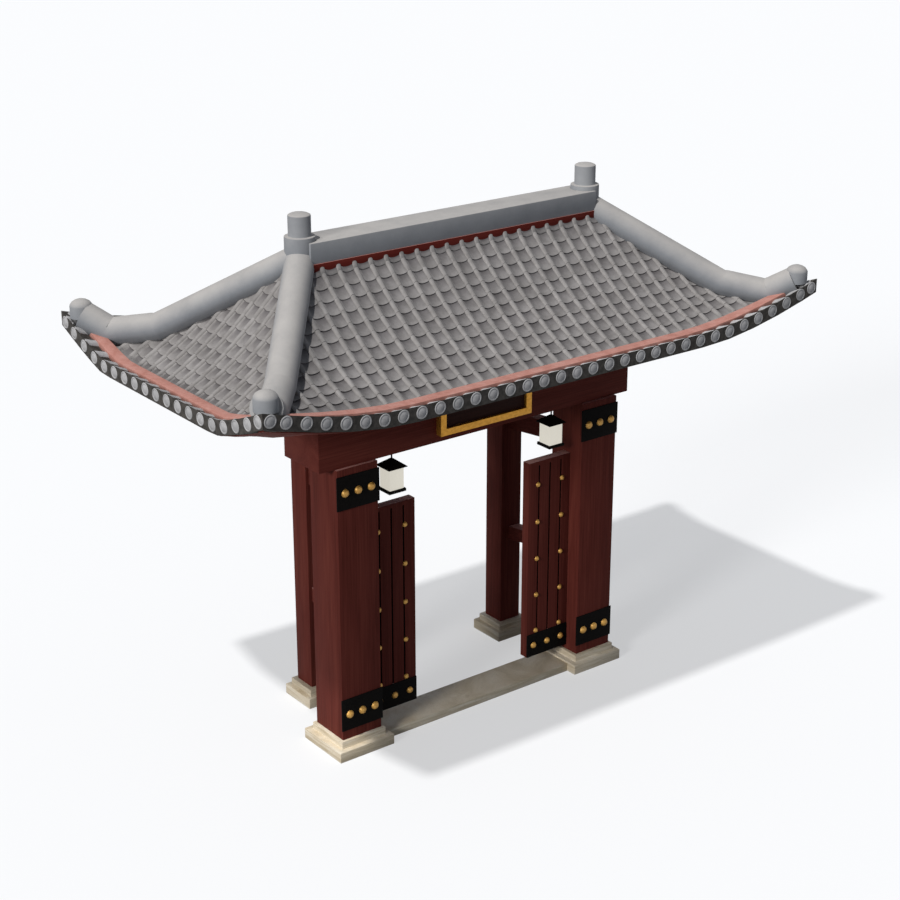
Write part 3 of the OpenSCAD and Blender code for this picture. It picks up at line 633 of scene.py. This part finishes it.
pans, covers = bmesh.new(), bmesh.new()
tone = covers.verts.layers.float.new("tile_tone")
for side in ("front", "right", "rear", "left"):
    outer, inner = EAVE_DOWN[side] - FACE_BACK, STRIP_DOWN[side] - STRIP_TUCK
    half = (eave_x if side in ("front", "rear") else eave_y) - FACE_BACK
    count, pitch = COVERS[side]
    phase = 0 if count % 2 else 0.5
    steps = int(2 * half / pitch * STEPS_PER_COVER)
    rows = []
    for i in range(steps + 1):
        across = -half + 2 * half * i / steps
        dip = SCOOP * math.sin(math.pi * (across / pitch + phase)) ** 2
        row = []
        # The face stands as high as the covers; behind it the pans dip between them.
        for down, top, sunk in ((inner, True, 1), (outer - LIP_FOOT, True, 1),
                                (outer - LIP_TOP, True, 0), (outer, True, 0),
                                (outer, False, 0), (inner, False, 0)):
            reach = half - (outer - down)
            place_across = max(-reach, min(reach, across))
            x, y = plan(side, place_across, down)
            z = (band_top(side, place_across, down) - PAN_UNDER - dip * sunk if top
                 else underside(edge, x, y) - (PAN_DROP if down == outer else 0))
            row.append(Vector((x, y, z)))
        rows.append(row)
    loft(pans, rows, closed_ring=True, caps=True)
    for middle in middles(side):
        shade = random.random()
        made = []
        rows = []
        for part in ALONG:
            down = inner + (outer - COVER_SHORT - inner) * part
            centre = band_top(side, middle, down) - COVER_R
            row = []
            for i in range(COVER_SIDES + 1):
                turn = math.pi * i / COVER_SIDES
                x, y = plan(side, middle + COVER_R * math.cos(turn), down)
                row.append(Vector((x, y, centre + COVER_R * math.sin(turn))))
            rows.append(row)
        made += loft(covers, rows, closed_ring=True, caps=True)
        centre = band_top(side, middle, EAVE_DOWN[side] - EDGE_CLEAR) - DISC_R - DISC_DROP
        rows = []
        for radius, proud in DISC_FACE:
            row = []
            for i in range(DISC_SIDES):
                turn = 2 * math.pi * i / DISC_SIDES
                x, y = plan(side, middle + radius * math.cos(turn), outer + proud)
                row.append(Vector((x, y, centre + radius * math.sin(turn))))
            rows.append(row)
        made += loft(covers, rows, closed_ring=True, caps=True)
        for row in made:
            for vert in row:
                vert[tone] = shade
for shape in (pans, covers):
    bmesh.ops.recalc_face_normals(shape, faces=shape.faces)

# The same clay, darker for the pans under the covers: partly a darker tone of their own, partly
# painted shade
dark_clay, tree, shader, place = material("shaded_dark_clay_tile")
mottle_and_painted_shade = add(tree, "ShaderNodeTexNoise", {"Vector": place, "Scale": 22.0, "Detail": 5.0})
colour = add(tree, "ShaderNodeValToRGB", {"Fac": mottle_and_painted_shade.outputs["Fac"]},
             [(0.35, "#34322F"), (0.7, "#4D4945")])
bump = add(tree, "ShaderNodeBump", {"Height": mottle_and_painted_shade.outputs["Fac"], "Strength": 0.25,
                                    "Distance": 0.002})
plug(tree, shader, {"Base Color": colour.outputs[0], "Normal": bump.outputs[0],
                    "Roughness": 0.85, "Specular IOR Level": 0.15})
put("eave_pans", pans, dark_clay, eave_body, 50, "eave_tiles")

# Pale grey clay, pressed in a mould: the covers and their end discs
disc_clay, tree, shader, place = material("pale_grey_pressed_clay")
tone = add(tree, "ShaderNodeAttribute", attribute_name="tile_tone")
firing = add(tree, "ShaderNodeTexNoise", {"Vector": place, "Scale": 30.0, "Detail": 6.0,
                                          "Roughness": 0.6})
mixed = add(tree, "ShaderNodeMath", {0: tone.outputs["Fac"], 1: 0.2, 2: firing.outputs["Fac"]},
            operation="MULTIPLY_ADD")
colour = add(tree, "ShaderNodeValToRGB", {"Fac": mixed.outputs[0]},
             [(0.40, "#979695"), (0.6, "#A4A2A1"), (0.8, "#B0AEAD")])
bump = add(tree, "ShaderNodeBump", {"Height": firing.outputs["Fac"], "Strength": 0.2,
                                    "Distance": 0.001})
plug(tree, shader, {"Base Color": colour.outputs[0], "Normal": bump.outputs[0],
                    "Roughness": 0.8, "Specular IOR Level": 0.2})
covers_piece = put("eave_covers_and_discs", covers, disc_clay, eave_body, 40)

# Lime paint on the strip's mortar: a red of its own, made salmon-pale by painted light on its
# top; matt, uneven and chalky
salmon, tree, shader, place = material("salmon_lime_paint_painted_light")
wash = add(tree, "ShaderNodeTexNoise", {"Vector": place, "Scale": 9.0, "Detail": 7.0,
                                        "Roughness": 0.7})
colour = add(tree, "ShaderNodeValToRGB", {"Fac": wash.outputs["Fac"]},
             [(0.3, "#976255"), (0.5, "#A67367"), (0.75, "#B3877C")])
bump = add(tree, "ShaderNodeBump", {"Height": wash.outputs["Fac"], "Strength": 0.2,
                                    "Distance": 0.002})
plug(tree, shader, {"Base Color": colour.outputs[0], "Normal": bump.outputs[0],
                    "Roughness": 0.8})
dress("eave_strip", salmon, ease=0.004)

# ---- Ridge, hips, knobs and finials -------------------------------------------------------
# Courses of tile bedded in lime mortar and rendered smooth: a square ridge over a dark red
# strip, round hips down to the corners, and drum-shaped knobs and finials at their ends.

# Sanded lime render, weathered: matt pale grey, patchy over about 300 mm
render, tree, shader, place = material("pale_grey_lime_render")
patches = add(tree, "ShaderNodeTexNoise", {"Vector": place, "Scale": 3.5, "Detail": 8.0,
                                           "Roughness": 0.65})
colour = add(tree, "ShaderNodeValToRGB", {"Fac": patches.outputs["Fac"]},
             [(0.3, "#918E8B"), (0.5, "#9B9793"), (0.72, "#A39F9A")])
# Upright faces and undersides are painted darker and bluer as painted shade; faces that look up
# keep their colour.
facing = add(tree, "ShaderNodeSeparateXYZ",
             {0: add(tree, "ShaderNodeNewGeometry").outputs["Normal"]})
mottle_and_painted_shade = add(tree, "ShaderNodeValToRGB", {"Fac": facing.outputs["Z"]},
           [(0.0, "#D2DBE6"), (0.75, "#FFFFFF")])
facing_painted_light = add(tree, "ShaderNodeMix", {0: 1.0, 6: colour.outputs[0], 7: mottle_and_painted_shade.outputs[0]},
                data_type="RGBA", blend_type="MULTIPLY")
sand = add(tree, "ShaderNodeTexNoise", {"Vector": place, "Scale": 180.0, "Detail": 4.0})
bump = add(tree, "ShaderNodeBump", {"Height": sand.outputs["Fac"], "Strength": 0.2,
                                    "Distance": 0.001})
plug(tree, shader, {"Base Color": facing_painted_light.outputs[2], "Normal": bump.outputs[0],
                    "Roughness": 0.78})

# Each hip is a round roll. Its middle line falls with the slope, then lifts at the corner:
# share of the way to the corner in plan, and height over the ridge's foot.
HIP_LINE = [(0.01, 0.114), (0.586, -0.609), (0.788, -0.688), (0.90, -0.544)]
HIP_R = 0.140
HIP_STEPS, HIP_SIDES, KNOB_SIDES = 8, 32, 24
ridge_foot = ridge_low.z
for name in ("front_left_hip", "front_right_hip", "rear_left_hip", "rear_right_hip"):
    sign_x, sign_y = (-1 if "left" in name else 1), (-1 if "front" in name else 1)
    line = []
    for (share, rise), (next_share, next_rise) in zip(HIP_LINE, HIP_LINE[1:]):
        for i in range(HIP_STEPS):
            at = share + (next_share - share) * i / HIP_STEPS
            z = ridge_foot + rise + (next_rise - rise) * i / HIP_STEPS
            line.append(Vector((sign_x * (ridge_x + at * (eave_x - ridge_x)),
                                sign_y * at * eave_y, z)))
    at, rise = HIP_LINE[-1]
    line.append(Vector((sign_x * (ridge_x + at * (eave_x - ridge_x)), sign_y * at * eave_y,
                        ridge_foot + rise)))
    shape = bmesh.new()
    rows = []
    for i, point in enumerate(line):
        way = (line[min(i + 1, len(line) - 1)] - line[max(i - 1, 0)]).normalized()
        across = way.cross(Vector((0, 0, 1))).normalized()
        up = across.cross(way)
        turns = [2 * math.pi * k / HIP_SIDES for k in range(HIP_SIDES)]
        rows.append([point + HIP_R * (across * math.cos(turn) + up * math.sin(turn))
                     for turn in turns])
    loft(shape, rows, closed_ring=True, caps=True)
    bmesh.ops.recalc_face_normals(shape, faces=shape.faces)
    put(name + "_roll", shape, render, node_body[name], 35, name)
for name in ("ridge", "ridge_finials"):
    dress(name, render, ease=0.008)
# A knob is a short drum with a low dome: radius and share of its height.
KNOB_R = 0.108
KNOB = [(KNOB_R, 0.0), (KNOB_R, 0.62), (0.104, 0.70), (0.088, 0.83), (0.060, 0.93),
        (0.030, 0.985), (0.002, 1.0)]
knob_low, knob_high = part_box("corner_knobs")
shape = bmesh.new()
for sign_x in (-1, 1):
    for sign_y in (-1, 1):
        middle_x, middle_y = sign_x * (knob_high.x - KNOB_R), sign_y * (knob_high.y - KNOB_R)
        turns = [2 * math.pi * k / KNOB_SIDES for k in range(KNOB_SIDES)]
        rows = [[Vector((middle_x + r * math.cos(turn), middle_y + r * math.sin(turn),
                         knob_low.z + (knob_high.z - knob_low.z) * share))
                 for turn in turns] for r, share in KNOB]
        loft(shape, rows, closed_ring=True, caps=True)
bmesh.ops.recalc_face_normals(shape, faces=shape.faces)
put("corner_knob_domes", shape, render, node_body["corner_knobs"], 40, "corner_knobs")
# Dark red paint, darkened further as painted shade over the whole strip; its tops also get the
# timber's painted light.
dark_red = stained_timber("dark_red_strip_painted_shade", 0, "#511D18", "#5B211B", "#652B24")
dress("ridge_strip", dark_red, ease=0.003)
